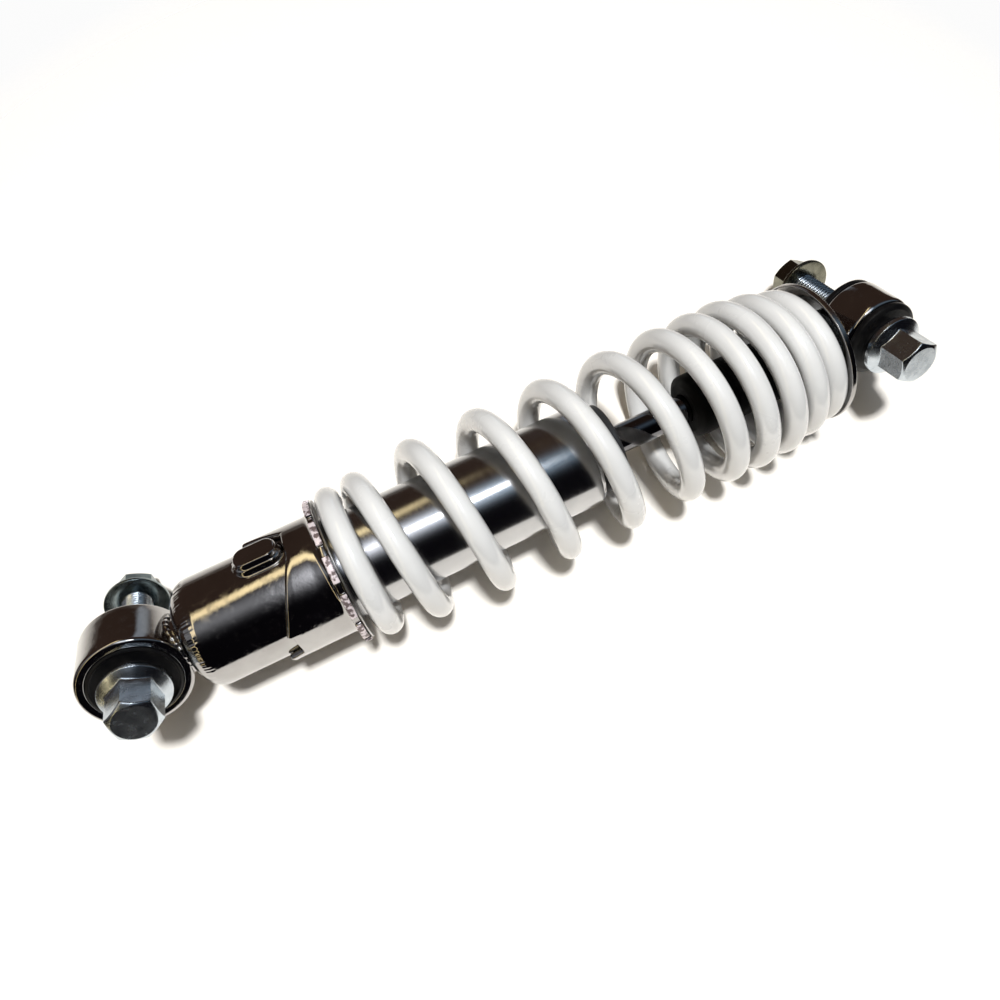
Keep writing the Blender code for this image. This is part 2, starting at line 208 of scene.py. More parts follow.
def skin(name, rings, mat, matrix=Matrix.Identity(4), closed=False, sharp=40.0):
    """A mesh through rings of points (ring, place on the ring, xyz), in millimetres.

    An open run of rings is capped at both ends; rings shrunk to a point become a tip.
    """
    rings = np.asarray(rings, float) * MM
    rows, n = rings.shape[:2]
    vertices, index = [], []
    for ring in rings:
        if np.ptp(ring, axis=0).max() < 1e-8:
            index.append([len(vertices)] * n)
            vertices.append(ring[0])
        else:
            index.append(list(range(len(vertices), len(vertices) + n)))
            vertices.extend(ring)
    faces = []
    for i in range(rows if closed else rows - 1):
        a, b = index[i], index[(i + 1) % rows]
        for j in range(n):
            k = (j + 1) % n
            corners = [a[j], b[j], b[k], a[k]]
            unique = list(dict.fromkeys(corners))
            if len(unique) > 2:
                faces.append(unique)
    if not closed:
        for ends, loop in ((index[0], 1), (index[-1], -1)):
            if ends[0] != ends[1]:
                faces.append(ends[::loop])
    mesh = bpy.data.meshes.new(name)
    mesh.from_pydata([tuple(v) for v in vertices], [], faces)
    mesh.transform(matrix)
    mesh.validate()
    mesh.shade_smooth()
    mesh.set_sharp_from_angle(angle=math.radians(sharp))
    mesh.materials.append(mat)
    obj = bpy.data.objects.new(name, mesh)
    bpy.context.scene.collection.objects.link(obj)
    return obj


def circle(count):
    return np.arange(count) * TAU / count


def around(radius, height, angles):
    """One ring about local Z; radius and height may vary with the angle."""
    radius = np.broadcast_to(radius, angles.shape)
    height = np.broadcast_to(height, angles.shape)
    return np.stack((radius * np.cos(angles), radius * np.sin(angles), height), axis=1)


def around_x(x, radius, angles):
    """One ring about the shock's axis; x and radius may vary with the angle."""
    x = np.broadcast_to(x, angles.shape)
    radius = np.broadcast_to(radius, angles.shape)
    return np.stack((x, radius * np.cos(angles), radius * np.sin(angles)), axis=1)


def turned(name, corners, mat, matrix=ALONG_X, closed=True, n=144, step=1e9):
    """A turned piece; its corners run down the outer side."""
    angles = circle(n)
    rings = [around(r, h, angles) for r, h in rounded(corners, step, closed)]
    return skin(name, rings, mat, matrix, closed)


def place(obj, body, node):
    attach(obj, body)
    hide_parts(node)
    return obj


def join_solids(obj, other):
    """Union of two overlapping solids; the second one goes away."""
    mod = obj.modifiers.new("union", "BOOLEAN")
    mod.operation = "UNION"
    mod.solver = "EXACT"
    mod.object = other
    bpy.context.view_layer.update()
    made = bpy.data.meshes.new_from_object(obj.evaluated_get(bpy.context.evaluated_depsgraph_get()))
    obj.modifiers.clear()
    obj.data = made
    made.shade_smooth()
    made.set_sharp_from_angle(angle=math.radians(32))
    bpy.data.objects.remove(other)
    return obj


# Materials -------------------------------------------------------------------------
class Nodes:
    """Short names for the nodes that the materials and the surroundings share."""

    def __init__(self, name, kind="materials", shader="Principled BSDF", coords="Object"):
        self.material = getattr(bpy.data, kind).new(name)
        self.material.use_nodes = True
        self.tree = self.material.node_tree
        self.shader = self.tree.nodes[shader]
        self.coords = self.tree.nodes.new("ShaderNodeTexCoord").outputs[coords]

    def node(self, kind, **values):
        made = self.tree.nodes.new(kind)
        for key, value in values.items():
            setattr(made, key, value)
        return made

    def link(self, source, target):
        self.tree.links.new(source, target)

    def stretched(self, scale, rotation=(0.0, 0.0, 0.0)):
        mapping = self.node("ShaderNodeMapping")
        mapping.inputs["Scale"].default_value = scale
        mapping.inputs["Rotation"].default_value = rotation
        self.link(self.coords, mapping.inputs["Vector"])
        return mapping.outputs["Vector"]

    def parts(self, vector):
        split = self.node("ShaderNodeSeparateXYZ")
        self.link(vector, split.inputs["Vector"])
        return split.outputs["X"], split.outputs["Y"], split.outputs["Z"]

    def math(self, operation, first, second=0.0):
        made = self.node("ShaderNodeMath", operation=operation)
        for socket, value in ((made.inputs[0], first), (made.inputs[1], second)):
            if isinstance(value, float):
                socket.default_value = value
            else:
                self.link(value, socket)
        return made.outputs[0]

    def noise(self, scale, detail=3.0, rough=0.5, vector=None):
        """Noise whose features are about 1000 / scale millimetres across."""
        made = self.node("ShaderNodeTexNoise")
        made.inputs["Scale"].default_value = scale
        made.inputs["Detail"].default_value = detail
        made.inputs["Roughness"].default_value = rough
        self.link(vector or self.coords, made.inputs["Vector"])
        return made.outputs["Fac"]

    def spread(self, source, low, high, to_low, to_high):
        made = self.node("ShaderNodeMapRange", clamp=True)
        self.link(source, made.inputs["Value"])
        values = (low, high, to_low, to_high)
        for key, value in zip(("From Min", "From Max", "To Min", "To Max"), values):
            made.inputs[key].default_value = value
        return made.outputs["Result"]

    def mix(self, factor, first, second):
        made = self.node("ShaderNodeMix", data_type="RGBA")
        self.link(factor, made.inputs["Factor"])
        for socket, value in ((made.inputs[6], first), (made.inputs[7], second)):
            if isinstance(value, tuple):
                socket.default_value = (*value, 1.0)
            else:
                self.link(value, socket)
        return made.outputs[2]

    def blend(self, factor, first, second):
        made = self.node("ShaderNodeMix", data_type="FLOAT")
        self.link(factor, made.inputs["Factor"])
        for socket, value in ((made.inputs[2], first), (made.inputs[3], second)):
            if isinstance(value, float):
                socket.default_value = value
            else:
                self.link(value, socket)
        return made.outputs[0]

    def bump(self, height, depth, strength=1.0, under=None):
        """Relief of the given depth in millimetres."""
        made = self.node("ShaderNodeBump")
        made.inputs["Strength"].default_value = strength
        made.inputs["Distance"].default_value = depth * MM
        self.link(height, made.inputs["Height"])
        if under:
            self.link(under, made.inputs["Normal"])
        self.link(made.outputs["Normal"], self.shader.inputs["Normal"])
        return made.outputs["Normal"]

    def set(self, **values):
        for key, value in values.items():
            socket = self.shader.inputs[key.replace("_", " ")]
            if hasattr(value, "is_output"):
                self.link(value, socket)
            else:
                socket.default_value = (*value, 1.0) if isinstance(value, tuple) else value
        return self.material


def dark_chrome(name, rim=None):
    """Nickel-dark chrome with hazy specks; beyond the radius rim it turns satin, with painted highlights:
    light pinkish patches with dark gaps between them.
    """
    m = Nodes(name)
    haze = m.noise(520.0, 3.0, 0.55)
    cloud = m.noise(130.0, 3.0, 0.6)
    stain = m.noise(60.0, 4.0, 0.6)
    color = m.mix(m.spread(stain, 0.35, 0.7, 0.0, 1.0), (0.47, 0.465, 0.465), (0.37, 0.36, 0.355))
    specks = m.math("MULTIPLY", m.spread(haze, 0.42, 0.64, 0.0, 1.0), m.spread(cloud, 0.4, 0.6, 0.25, 1.0))
    roughness = m.spread(specks, 0.0, 1.0, 0.05, 0.19)
    metallic = 1.0
    if rim:
        # Painted highlights: past the radius rim, light pinkish patches with dark gaps stand in for light
        # caught on the flange's rim.
        x, y, z = m.parts(m.coords)
        radius = m.math("SQRT", m.math("ADD", m.math("MULTIPLY", y, y), m.math("MULTIPLY", z, z)))
        highlight_band = m.spread(radius, rim * MM - 0.0001, rim * MM, 0.0, 1.0)
        highlight_patch = m.spread(m.noise(620.0, 2.0, 0.5), 0.42, 0.52, 0.0, 1.0)
        color = m.mix(highlight_band, color, m.mix(highlight_patch, (0.16, 0.12, 0.12), (0.78, 0.69, 0.71)))
        roughness = m.blend(highlight_band, roughness, 0.38)
        metallic = m.blend(highlight_band, 1.0, 0.3)
    m.bump(m.noise(420.0, 5.0, 0.6), 0.035, 0.6)
    return m.set(Base_Color=color, Metallic=metallic, Roughness=roughness)


def tube_chrome():
    """Ground and chromed; fine grinding lines run round the tube."""
    m = Nodes("tube_chrome")
    lines = m.noise(1.0, 2.0, 0.5, m.stretched((5200.0, 18.0, 18.0)))
    cloud = m.noise(90.0, 4.0, 0.6)
    grain = m.noise(1500.0, 3.0, 0.6)
    color = m.mix(m.spread(cloud, 0.3, 0.7, 0.0, 1.0), (0.53, 0.535, 0.545), (0.45, 0.455, 0.47))
    m.bump(grain, 0.004, 0.8)
    return m.set(Base_Color=color, Metallic=1.0, Roughness=m.spread(lines, 0.3, 0.75, 0.13, 0.21),
                 Anisotropic=0.35)


def rod_chrome():
    """Hard chrome, polished, with very fine lines round the rod."""
    m = Nodes("rod_chrome")
    lines = m.noise(1.0, 2.0, 0.5, m.stretched((3000.0, 60.0, 60.0)))
    m.bump(lines, 0.002)
    return m.set(Base_Color=m.mix(lines, (0.20, 0.20, 0.21), (0.14, 0.14, 0.15)), Metallic=1.0,
                 Roughness=m.spread(lines, 0.3, 0.7, 0.04, 0.1))


def zinc(name, light, dark, shine):
    """Zinc plate: cloudy passivation, fine pits and soft scratches."""
    m = Nodes(name)
    cloud = m.noise(240.0, 5.0, 0.65)
    fine = m.noise(2600.0, 3.0, 0.6)
    scratch = m.noise(1.0, 2.0, 0.5, m.stretched((300.0, 4200.0, 900.0), (0.4, 0.2, 0.7)))
    color = m.mix(m.spread(cloud, 0.3, 0.72, 0.0, 1.0), light, dark)
    rough = m.spread(cloud, 0.25, 0.75, shine, shine + 0.17)
    under = m.bump(fine, 0.016)
    m.bump(scratch, 0.016, 0.8, under)
    return m.set(Base_Color=color, Metallic=1.0, Roughness=rough)


def turned_steel():
    m = Nodes("turned_steel")
    lines = m.noise(1.0, 2.0, 0.5, m.stretched((2600.0, 2600.0, 2600.0)))
    stain = m.noise(140.0, 4.0, 0.6)
    color = m.mix(m.spread(stain, 0.35, 0.7, 0.0, 1.0), (0.56, 0.56, 0.57), (0.42, 0.41, 0.4))
    m.bump(lines, 0.008)
    return m.set(Base_Color=color, Metallic=1.0, Roughness=m.spread(stain, 0.3, 0.7, 0.24, 0.4))


def bronze():
    m = Nodes("sintered_bronze")
    pores = m.noise(2200.0, 4.0, 0.7)
    color = m.mix(m.spread(pores, 0.3, 0.6, 0.0, 1.0), (0.2, 0.13, 0.07), (0.46, 0.31, 0.16))
    m.bump(pores, 0.02)
    return m.set(Base_Color=color, Metallic=1.0, Roughness=m.spread(pores, 0.3, 0.7, 0.55, 0.38))


def rubber(name, color, dust, low, high, gloss):
    """Moulded rubber: a fine grain, and a little dust."""
    m = Nodes(name)
    grain = m.noise(3000.0, 3.0, 0.6)
    cloud = m.noise(180.0, 5.0, 0.65)
    mixed = m.mix(m.spread(cloud, 0.45, 0.8, 0.0, 1.0), color, dust)
    m.bump(grain, 0.03, 0.6)
    return m.set(Base_Color=mixed, Roughness=m.spread(cloud, 0.3, 0.7, low, high),
                 Specular_IOR_Level=gloss)


def powder_coat():
    """White gloss powder coat with a slight orange peel."""
    m = Nodes("white_powder_coat")
    peel = m.noise(300.0, 2.0, 0.5)
    cloud = m.noise(45.0, 4.0, 0.6)
    color = m.mix(m.spread(cloud, 0.35, 0.7, 0.0, 1.0), (0.70, 0.70, 0.695), (0.64, 0.64, 0.635))
    m.bump(peel, 0.03, 0.4)
    return m.set(Base_Color=color, Roughness=m.spread(cloud, 0.3, 0.7, 0.24, 0.36),
                 Coat_Weight=1.0, Coat_Roughness=0.09, Coat_IOR=1.8)


def black_coat():
    m = Nodes("black_coat")
    grain = m.noise(1600.0, 3.0, 0.6)
    m.bump(grain, 0.015)
    return m.set(Base_Color=m.mix(grain, (0.012, 0.012, 0.013), (0.03, 0.03, 0.032)),
                 Roughness=m.spread(grain, 0.3, 0.7, 0.28, 0.42))


def piston_band():
    m = Nodes("piston_band")
    grain = m.noise(1800.0, 3.0, 0.6)
    m.bump(grain, 0.02)
    return m.set(Base_Color=m.mix(grain, (0.07, 0.12, 0.1), (0.13, 0.19, 0.16)),
                 Roughness=m.spread(grain, 0.3, 0.7, 0.45, 0.6))


DARK_CHROME = dark_chrome("dark_chrome")
COLLAR_CHROME = dark_chrome("collar_chrome", COLLAR_FLANGE_R - 0.55)
TUBE_CHROME = tube_chrome()
ROD_CHROME = rod_chrome()
ZINC = zinc("zinc_plate", (0.64, 0.70, 0.76), (0.46, 0.515, 0.57), 0.16)
NUT_ZINC = zinc("olive_zinc", (0.26, 0.255, 0.20), (0.12, 0.12, 0.095), 0.12)
TEAL_ZINC = zinc("teal_zinc", (0.30, 0.36, 0.37), (0.15, 0.18, 0.19), 0.12)
STEEL = turned_steel()
BRONZE = bronze()
BUSH_RUBBER = rubber("bush_rubber", (0.003, 0.003, 0.0035), (0.009, 0.0085, 0.008), 0.3, 0.46, 0.2)
STOP_RUBBER = rubber("stop_rubber", (0.002, 0.002, 0.002), (0.005, 0.005, 0.005), 0.5, 0.7, 0.12)
POWDER = powder_coat()
BLACK = black_coat()
BAND = piston_band()


# Fasteners -------------------------------------------------------------------------
def hex_radius(angles, across_flats):
    """Radius of a hexagon with two corners on local Y."""
    folded = angles % (math.pi / 3) - math.pi / 6
    return across_flats / 2.0 / np.cos(np.abs(folded) - math.pi / 6)


def hex_rings(angles, top, bottom, across_flats, flange):
    """Rings down a chamfered hexagon that stands on a conical flange (base radius, height)."""
    rings = []
    face = across_flats / 2.0 - 0.8
    stations = np.concatenate((np.linspace(top, top - 1.2, 9), np.linspace(top - 1.8, bottom + 1.2, 5),
                               np.linspace(bottom + 0.8, bottom, 8)))
    for h in stations:
        chamfer = face + (top - h) * math.sqrt(3.0)
        side = soft_min(hex_radius(angles, across_flats), chamfer, 0.45)
        cone = flange[0] - (h - flange[1]) * 2.0
        rings.append(around(soft_max(side, cone, 0.5), h, angles))
    return rings


def thread(angles, h, start, end):
    """Radius of an M10 thread that fades in at start and is chamfered at end."""
    phase = (h / THREAD_PITCH + angles / TAU) % 1.0
    groove = np.clip((np.abs(phase - 0.5) * 2.0 - 0.15) / 0.75, 0.0, 1.0)
    fade = smooth((start - h) / 1.5)
    return np.minimum(BOLT_R - THREAD_DEPTH * fade * (1.0 - groove), BOLT_R - 1.4 + (h - end))


def flange_bolt(name, seat, base, body, node, mat, thread_start):
    """A flanged bolt; its flange's face lies seat millimetres from the eye's middle."""
    angles = circle(120)
    top = BOLT_HEAD
    rings = [around(r, top, angles) for r in (0.0, 3.0, HEX_FACE_R)]
    rings += hex_rings(angles, top, BOLT_CONE_TOP, HEX_AF, (CONE_R, BOLT_CONE_TOP))
    rings += [around(r, h, angles) for r, h in
              rounded([(8.7, 2.85, 0), (FLANGE_R, 1.9, 0.45), (FLANGE_R, 0, 0.4), (BOLT_R + 0.5, 0, 0),
                       (BOLT_R, -0.5, 0), (BOLT_R, thread_start, 0)])]
    for h in np.arange(thread_start - 0.15, -BOLT_LENGTH, -THREAD_PITCH / 8.0):
        rings.append(around(thread(angles, h, thread_start, -BOLT_LENGTH), h, angles))
    rings.append(around(BOLT_R - 1.5, -BOLT_LENGTH, angles))
    rings.append(around(0.0, -BOLT_LENGTH, angles))
    obj = skin(name, rings, mat, base @ Matrix.Translation((0, -seat * MM, 0)) @ TO_HEAD, sharp=50)
    return place(obj, body, node)


def flange_nut(name, base, body, node, mat):
    """A flanged nut with a chamfered, plain bore that closes on the bolt's thread."""
    angles = circle(120)
    top = NUT_Y[1] - NUT_Y[0]
    rings = hex_rings(angles, top, NUT_CONE_TOP, HEX_AF, (CONE_R, NUT_CONE_TOP))
    rings += [around(r, h, angles) for r, h in
              rounded([(8.7, 2.15, 0), (FLANGE_R - 0.1, 1.4, 0.4), (FLANGE_R - 0.1, 0, 0.35),
                       (BOLT_R + 0.6, 0, 0), (BOLT_R + 0.05, 0.5, 0), (BOLT_R + 0.05, top - 0.6, 0),
                       (BOLT_R + 0.7, top, 0), (HEX_FACE_R, top, 0)])]
    obj = skin(name, rings, mat, base @ Matrix.Translation((0, NUT_Y[0] * MM, 0)) @ TO_NUT,
               closed=True, sharp=50)
    return place(obj, body, node)


# Eyes and bushes -------------------------------------------------------------------
def eye(name, ring_r, bore_r, half, fillet, neck, base, body, node):
    """An eye ring joined to a turned neck along X."""
    corners = [(ring_r, half, fillet), (ring_r, -half, fillet), (bore_r, -half, 0.6),
               (bore_r, half, 0.6)]
    obj = turned(name, corners, DARK_CHROME, base @ TO_HEAD, n=192, step=3.0)
    joined = turned(name + "_neck", neck, DARK_CHROME, base @ ALONG_X, closed=False, n=96)
    return place(join_solids(obj, joined), body, node)


def weld(name, ring_r, neck_r, side, bead, base, body):
    """A rippled bead where a neck meets its eye; side is +1 where the neck leaves along +X."""
    rings = []
    section = circle(24)
    for a in circle(240):
        size = bead * (1.0 + 0.10 * math.sin(26 * a) + 0.05 * math.sin(7 * a + 1.0))
        x = side * math.sqrt(ring_r ** 2 - (neck_r * math.sin(a)) ** 2)
        reach = neck_r + size * np.sin(section) * side
        rings.append(np.stack((x + size * np.cos(section), reach * math.cos(a),
                               reach * math.sin(a)), axis=1))
    obj = skin(name, rings, DARK_CHROME, base, closed=True, sharp=80)
    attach(obj, body)
    return obj


def bush(name, outer, inner, half, lip, base, body, node):
    """A rubber bush. lip is (radius, start) of a lip outside the eye, or None."""
    face = [(inner, half, 0.3), (inner + 0.8, half + 0.25, 0.3), (inner + 1.8, half - 0.5, 0.5)]
    if lip:
        side = [(lip[0] - 1.6, half - 0.3, 0.5), (lip[0], half - 0.9, 0.9), (lip[0], lip[1], 0.3),
                (outer, lip[1], 0.1)]
    else:
        side = [(outer - 1.3, half - 0.4, 0.5), (outer - 0.8, half + 0.1, 0.3), (outer, half - 0.3, 0.2)]
    upper = face + side
    lower = [(r, -h, fillet) for r, h, fillet in upper[::-1]]
    obj = turned(name, upper + lower, BUSH_RUBBER, base @ TO_HEAD)
    return place(obj, body, node)


def sleeve(name, radius, half, base, body, node):
    """The steel tube inside a bush, with its bolt through it."""
    corners = [(radius, half, 0.35), (radius, -half, 0.35), (BOLT_R + 0.06, -half, 0.3),
               (BOLT_R + 0.06, half, 0.3)]
    return place(turned(name, corners, STEEL, base @ TO_HEAD, n=96), body, node)


# Lower end -------------------------------------------------------------------------
ORIGIN = Matrix.Identity(4)
neck_x = COVER_X[0] - 0.15
eye("lower_eye_ring", LOWER_EYE_R, LOWER_BORE_R, LOWER_EYE_HALF, 1.3,
    [(0, neck_x, 0), (9.4, neck_x, 0.3), (8.6, neck_x - 1.2, 0.8), (9.0, 14.2, 0), (0, 14.0, 0)],
    ORIGIN, "damper", "lower_eye")
weld("lower_eye_weld", LOWER_EYE_R, 8.9, 1.0, 1.0, ORIGIN, "damper")
bush("lower_rubber", LOWER_BORE_R - FIT, LOWER_SLEEVE_R + FIT, LOWER_BUSH_HALF, None, ORIGIN,
     "damper", "lower_bush_rubber")
sleeve("lower_sleeve", LOWER_SLEEVE_R, SLEEVE_HALF, ORIGIN, "lower_pin", "lower_bush_sleeve")
flange_bolt("lower_eye_bolt", SLEEVE_HALF + 0.3, ORIGIN, "lower_pin", "lower_bolt", ZINC, -LOWER_SHANK)
flange_nut("lower_eye_nut", ORIGIN, "lower_pin", "lower_nut", TEAL_ZINC)

# Upper end -------------------------------------------------------------------------
boss_x = SEAT_X[1] + 0.15 - EYE_X
eye("upper_eye_ring", UPPER_EYE_R, UPPER_BORE_R, UPPER_EYE_HALF, 2.0,
    [(0, -12.4, 0), (7.4, -12.4, 0), (7.5, -15.4, 1.5), (9.4, -18.2, 2.0), (11.0, boss_x + 0.8, 0.6),
     (11.0, boss_x, 0.2), (0, boss_x, 0)],
    UPPER, "rod", "upper_eye")
weld("upper_eye_weld", UPPER_EYE_R, 7.3, -1.0, 0.9, UPPER, "rod")
bush("upper_rubber", UPPER_BORE_R - FIT, UPPER_SLEEVE_R + FIT, UPPER_BUSH_HALF,
     (BUSH_LIP_R, UPPER_EYE_HALF + FIT), UPPER, "rod", "upper_bush_rubber")
sleeve("upper_sleeve", UPPER_SLEEVE_R, UPPER_SLEEVE_HALF, UPPER, "upper_pin", "upper_bush_sleeve")
flange_bolt("upper_eye_bolt", UPPER_SLEEVE_HALF + 0.3, UPPER, "upper_pin", "upper_bolt", ZINC,
            -UPPER_SHANK)
flange_nut("upper_eye_nut", UPPER, "upper_pin", "upper_nut", NUT_ZINC)


# Cover with its pressed lugs ---------------------------------------------------------
def lug_relief(x, angles):
    """Height of the two oblong lugs above the cover."""
    total = 0.0
    for turn in (LUG_ANGLE, LUG_ANGLE + 180.0):
        off = (angles - math.radians(turn) + math.pi) % TAU - math.pi
        along = np.clip(x, LUG_X[0] + LUG_HALF_WIDTH, LUG_X[1] - LUG_HALF_WIDTH)
        depth = LUG_HALF_WIDTH - np.hypot(x - along, off * COVER_R)
        flat = (COVER_R + LUG_HEIGHT) / np.cos(np.clip(off, -0.5, 0.5)) - COVER_R
        wall = 0.5 * smooth((depth - 0.05) / 0.5) + 0.5 * smooth((depth - 0.9) / 0.6)
        edge = 1.0 - 0.12 * (1.0 - np.clip((depth - 1.2) / 1.2, 0.0, 1.0)) ** 2
        foot = 0.16 * np.exp(-((depth + 0.35) / 0.35) ** 2)
        total = total + flat * wall * edge - foot
    return total


def cover():
    """A drawn cup with two lugs and small crimps round its closed end."""
    rng = np.random.default_rng(11)
    lugs = (LUG_ANGLE, LUG_ANGLE + 180.0)
    dense = [math.radians(c + d) for c in lugs for d in np.arange(-20, 20, 0.5)]
    wide = [math.radians(a) for a in range(0, 360)
            if min(abs((a - c + 180) % 360 - 180) for c in lugs) > 20.5]
    angles = np.sort(np.array(dense + wide) % TAU)
    phase = rng.uniform(0, TAU, 5)
    count = (97, 61, 118, 43, 83)
    crimp = sum(np.sin(k * angles + p) for k, p in zip(count, phase)) / 5.0
    start, end = COVER_X
    corners = [(COVER_R, end, 0.2), (COVER_R, start, 7.0), (6.0, start, 0.6), (6.0, start + 0.7, 0),
               (11.0, start + 0.7, 0), (COVER_R - 0.7, start + 7.7, 5.0), (COVER_R - 0.7, end, 0.2)]
    rings = []
    for r, x in rounded(corners, 0.45, closed=True):
        outside = r > COVER_R - 0.3
        radius = r + (lug_relief(x, angles) if outside else 0.0)
        if r > COVER_R - 6.5 and x < start + 9.0:
            wrinkle = smooth((x - start - 2.4) / 1.6) * smooth((start + 6.8 - x) / 1.6)
            radius = radius + 0.14 * crimp * wrinkle
        rings.append(around_x(x, radius, angles))
    return place(skin("cover_shell", rings, DARK_CHROME, closed=True, sharp=60), "damper",
                 "body_cover")


cover()


# Preload collar ----------------------------------------------------------------------
def collar():
    """The cam collar: a stepped edge, the same twice round, and a flange with spanner notches."""
    angles = circle(1080)
    turns = np.degrees(angles)
    points = ((82.0, CAM_HIGH_X), (112.0, CAM_HIGH_X), (184.0, CAM_LOW_X), (187.0, CAM_LOW_X + 1.6),
              (212.0, CAM_LOW_X + 1.6), (217.0, CAM_LOW_X - 3.0), (238.0, CAM_LOW_X - 3.0),
              (262.0, CAM_HIGH_X))
    folded = (turns - points[0][0]) % 180.0 + points[0][0]
    edge = np.interp(folded, [a for a, _ in points], [x for _, x in points])
    kernel = np.hanning(13) / np.hanning(13).sum()
    edge = np.convolve(np.concatenate((edge[-12:], edge, edge[:12])), kernel, "same")[12:-12]
    half_pitch = NOTCH_PITCH / 2.0
    notch = np.abs((turns - NOTCH_ANGLE + half_pitch) % NOTCH_PITCH - half_pitch)
    rim = COLLAR_FLANGE_R - NOTCH_DEPTH * (1.0 - smooth((notch - NOTCH_HALF_WIDTH) / 0.9))
    near, far = COLLAR_FLANGE_X
    quarter = np.radians(np.arange(0, 91, 15))
    stations = [(edge + 0.35, COLLAR_BORE_R), (edge + 0.1, COLLAR_BORE_R + 0.12),
                (edge, COLLAR_BORE_R + 0.35)]
    for a in quarter:
        stations.append((edge + 1.0 - math.cos(a), COLLAR_R - 1.0 + math.sin(a)))
    for part in (0.25, 0.5, 0.75):
        stations.append((edge + part * (near - 2.2 - edge), COLLAR_R))
    for a in quarter:
        stations.append((near - 2.0 * (1.0 - math.sin(a)), COLLAR_R + 2.0 * (1.0 - math.cos(a))))
    stations += [(near, rim - 0.9), (near, rim - 0.32), (near + 0.09, rim - 0.09), (near + 0.32, rim),
                 (far - 0.32, rim), (far - 0.09, rim - 0.09), (far, rim - 0.32), (far, rim - 0.9),
                 (far, COLLAR_BORE_R + 0.3), (far - 0.3, COLLAR_BORE_R)]
    rings = [around_x(x, r, angles) for x, r in stations]
    obj = skin("cam_collar", rings[::-1], COLLAR_CHROME, closed=True, sharp=48)
    return place(obj, "collar", "preload_collar")


collar()
low, high = RING_X
place(turned("spring_washer", [(WASHER_R, high, 0.25), (WASHER_R, low, 0.25), (TUBE_R + 0.3, low, 0.1),
                               (TUBE_R + 0.3, high, 0.1)], STEEL),
      "preload_seat", "spring_seat_ring")

# Damper tube, cap and rod --------------------------------------------------------------
low, high = TUBE_X
place(turned("chrome_tube", [(15.0, high, 0.3), (16.0, high, 0.6), (TUBE_R, high - 1.5, 0.9),
                             (TUBE_R, low, 0.3), (15.5, low, 0.3), (15.5, high - 2.0, 0.5),
                             (15.0, high - 2.0, 0.2)], TUBE_CHROME, n=240, step=6.0),
      "damper", "damper_tube")

low, high = CAP_X
place(turned("rod_cap", [(5.25, high - 0.5, 0.2), (6.6, high - 0.5, 0.3), (7.4, high - 1.6, 0.3),
                         (12.4, high - 1.6, 0.6), (13.0, high, 0.3), (CAP_R, high, 0.7),
                         (CAP_R, high - 8.2, 0), (CAP_R, CAP_GROOVE_X, 0.2),
                         (CAP_R + 0.5, CAP_GROOVE_X, 0.1), (CAP_R + 0.5, low, 0.2),
                         (5.25, low, 0.2)], BLACK),
      "damper", "end_cap")

low, high = span("piston_rod")
place(turned("polished_rod", [(0, high, 0), (4.4, high, 0.4), (ROD_R, high - 0.8, 0.2),
                              (ROD_R, ROD_SHOULDER_X, 0.2), (ROD_END_R, ROD_SHOULDER_X, 0.1),
                              (ROD_END_R, low + 0.5, 0.1), (3.5, low, 0), (0, low, 0)],
             ROD_CHROME, closed=False, n=96, step=12.0),
      "rod", "piston_rod")

low, high = STOP_X
stop_r = radius_of("bump_stop")
place(turned("rubber_stop", [(stop_r, high, 0.6), (stop_r, high - 12.0, 0.8),
                             (stop_r - 0.9, high - 13.2, 0.9), (stop_r, high - 14.4, 0.8),
                             (stop_r, high - 26.0, 0.8), (stop_r - 0.9, high - 27.2, 0.9),
                             (stop_r, high - 28.4, 0.8), (stop_r, low + 1.4, 1.3),
                             (stop_r - 2.6, low, 0.8), (5.15, low, 0.4), (5.15, high, 0.4)], STOP_RUBBER),
      "rod", "bump_stop")

low, high = span("bump_washer")
place(turned("stop_washer", [(12.0, high, 0.35), (12.0, low, 0.35), (ROD_HOLE_R, low, 0.2),
                             (ROD_HOLE_R, high, 0.2)], ZINC),
      "rod", "bump_washer")


def locknut():
    start, end = span("rod_locknut")
    angles = circle(120)
    middle = (start + end) / 2
    half = (end - start) / 2
    face = 8.3
    rings = []
    for h in np.linspace(half, -half, 25):
        chamfer = face + (half - abs(h)) * math.sqrt(3.0)
        rings.append(around(soft_min(hex_radius(angles, 17.0), chamfer, 0.4), middle + h, angles))
    bore = ((8.0, -half), (5.9, -half), (ROD_HOLE_R, 0.7 - half), (ROD_HOLE_R, half - 0.7),
            (5.9, half), (8.0, half))
    rings += [around(r, middle + h, angles) for r, h in bore]
    obj = skin("lock_nut", rings, ZINC, ALONG_X, closed=True, sharp=50)
    return place(obj, "rod", "rod_locknut")


locknut()
low, high = SEAT_X
under = DISH_PLATE_X - 1.4
place(turned("upper_dish", [(11.6, high, 0.8), (15.8, DISH_PLATE_X, 1.2), (DISH_R, DISH_PLATE_X, 0.7),
                            (DISH_R, low, 0.25), (DISH_R - 0.6, low, 0.25), (DISH_R - 0.65, under, 0.2),
                            (16.4, under, 1.0), (12.2, high - 1.4, 1.0), (ROD_HOLE_R, high - 1.4, 0.2),
                            (ROD_HOLE_R, high, 0.3)], DARK_CHROME, n=240),
      "upper_seat", "upper_spring_seat")


# Spring --------------------------------------------------------------------------------
WIRE_R = 4.0
SPRING_TURNS = (-0.4, 10.3)
SPRING_START = 73.9
GROUND_X = DISH_PLATE_X - 1.43  # the last turn is ground flat where it bears on the dish
SPLIT_TURN = 2.5               # on the +Y side, where the two lengths of wire meet
PITCH = ((-0.4, 0.0), (0.0, 5.0), (0.5, 17.0), (1.5, 22.5), (2.5, 24.2), (4.5, 23.3), (5.5, 17.5),
         (6.5, 11.2), (7.5, 10.9), (8.5, 10.1), (9.5, 8.8), (10.3, 8.4))


def pitch_at(turn):
    return np.interp(turn, [t for t, _ in PITCH], [p for _, p in PITCH])


